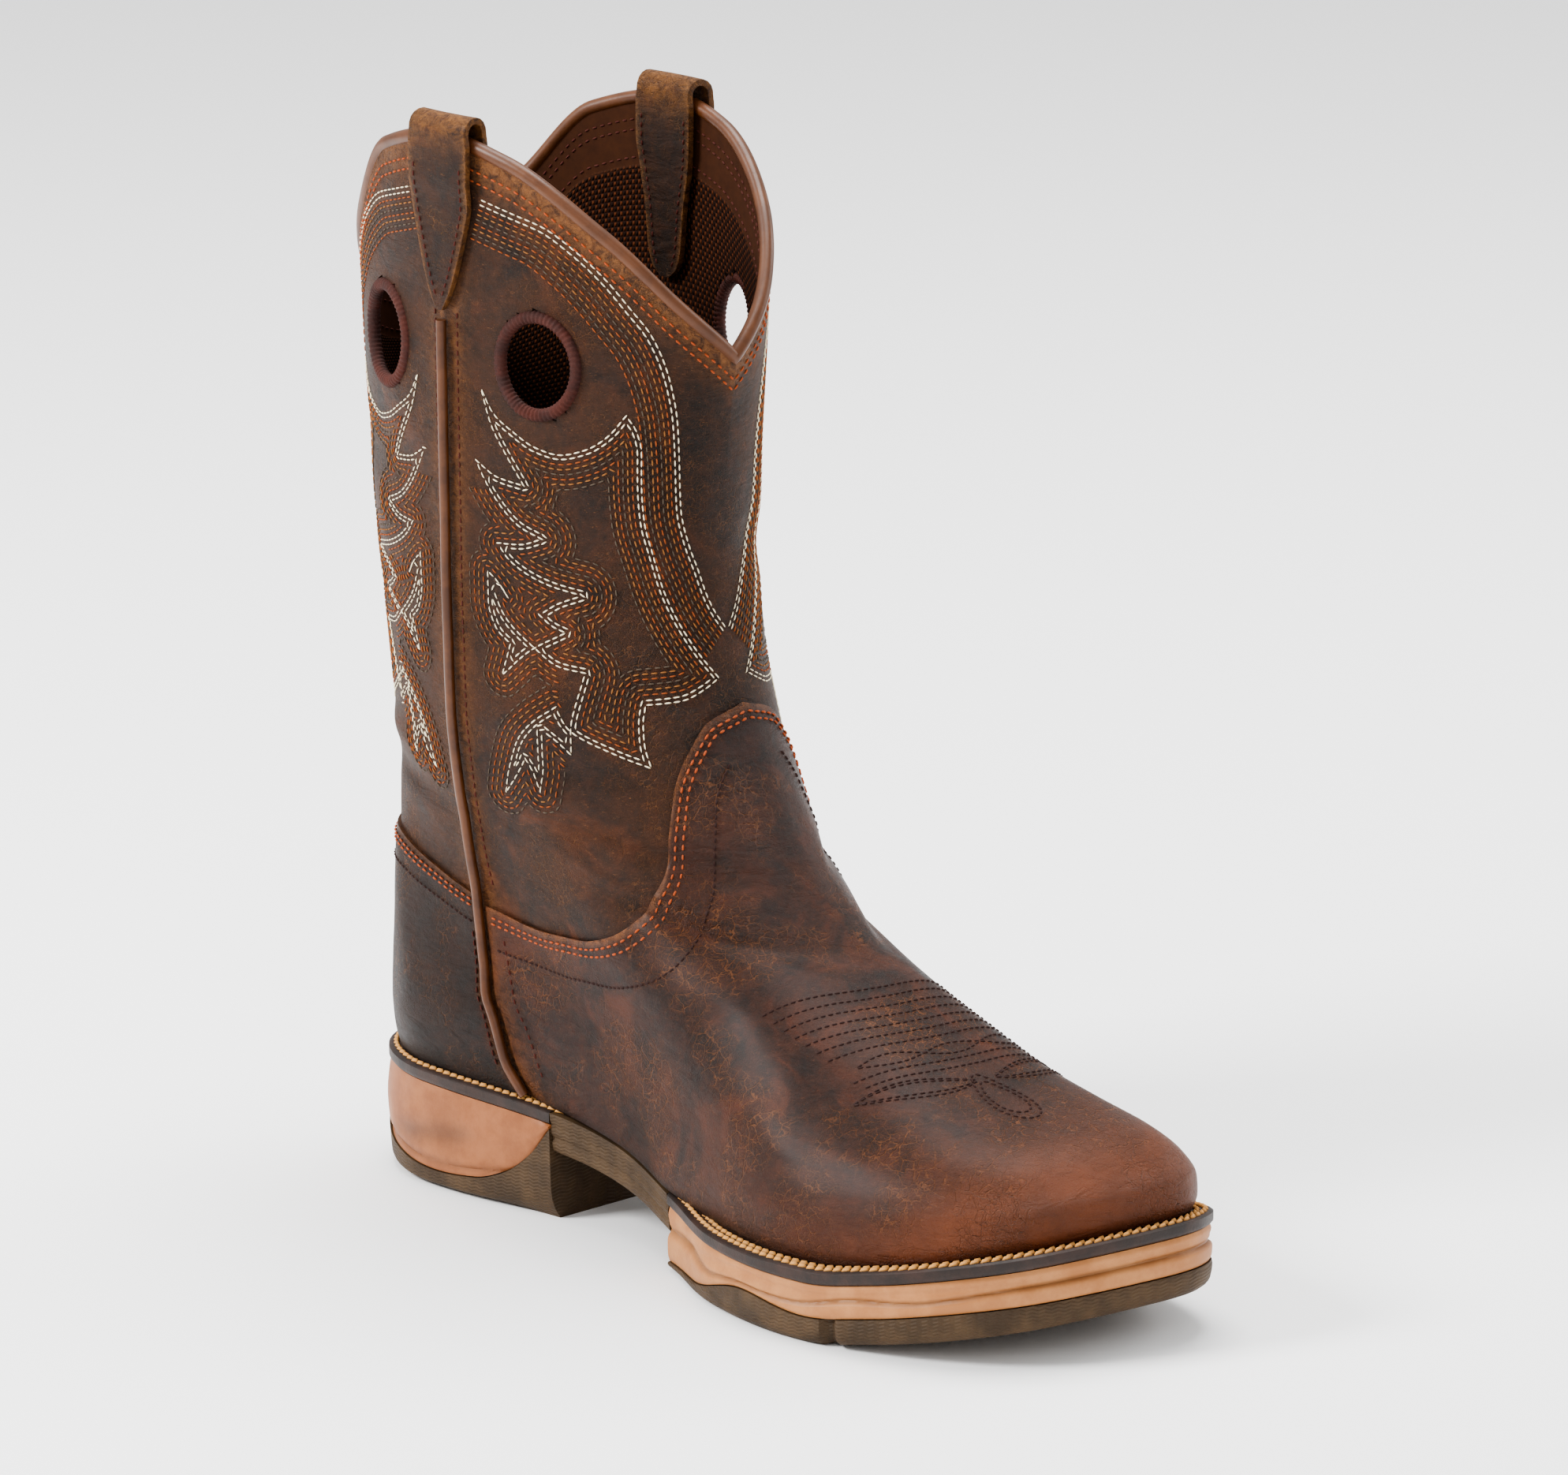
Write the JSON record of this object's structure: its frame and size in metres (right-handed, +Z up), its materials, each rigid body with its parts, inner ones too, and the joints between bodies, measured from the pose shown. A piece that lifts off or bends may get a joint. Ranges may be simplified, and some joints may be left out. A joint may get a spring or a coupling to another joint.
{
  "type": "western work boot",
  "caption": "Right-foot pull-on western work boot with a scalloped collar, pull straps, pull holes, stitched shaft, square toe and welted lug sole.",
  "frame": {"origin": "centre of the bounding box in plan, at the ground the boot stands on", "axes": "+X towards the toe, +Y towards the wearer's left, which is the inner side of this right boot, +Z up"},
  "size_m": [0.3258, 0.1178, 0.3348],
  "materials": {
    "shaft_leather": "oiled, distressed brown leather",
    "vamp_leather": "crackled red-brown leather, rubbed at the toe",
    "counter_leather": "dark grey-brown leather",
    "strap_leather": "folded strap leather with rubbed edges",
    "binding": "smooth rolled binding and piping",
    "thread_ring": "wrapped maroon thread",
    "welt": "dark ribbed welt",
    "midsole": "tan moulded midsole",
    "outsole": "olive-brown moulded tread",
    "footbed": "dark brown footbed cover"
  },
  "bodies": {
    "root": {"outsole_forefoot": "outsole", "outsole_heel": "outsole", "midsole_forefoot": "midsole", "midsole_heel": "midsole", "welt_forefoot": "welt", "welt_heel": "welt", "insole": "footbed", "upper": "shaft_leather", "vamp": "vamp_leather", "counter": "counter_leather", "collar_binding": "binding", "pull_hole_ring_lateral_back": "thread_ring", "pull_hole_ring_lateral_front": "thread_ring", "pull_hole_ring_medial_back": "thread_ring", "pull_hole_ring_medial_front": "thread_ring", "piping_lateral": "binding", "piping_medial": "binding", "pull_strap_lateral": "strap_leather", "pull_strap_medial": "strap_leather"}
  },
  "joints": []
}
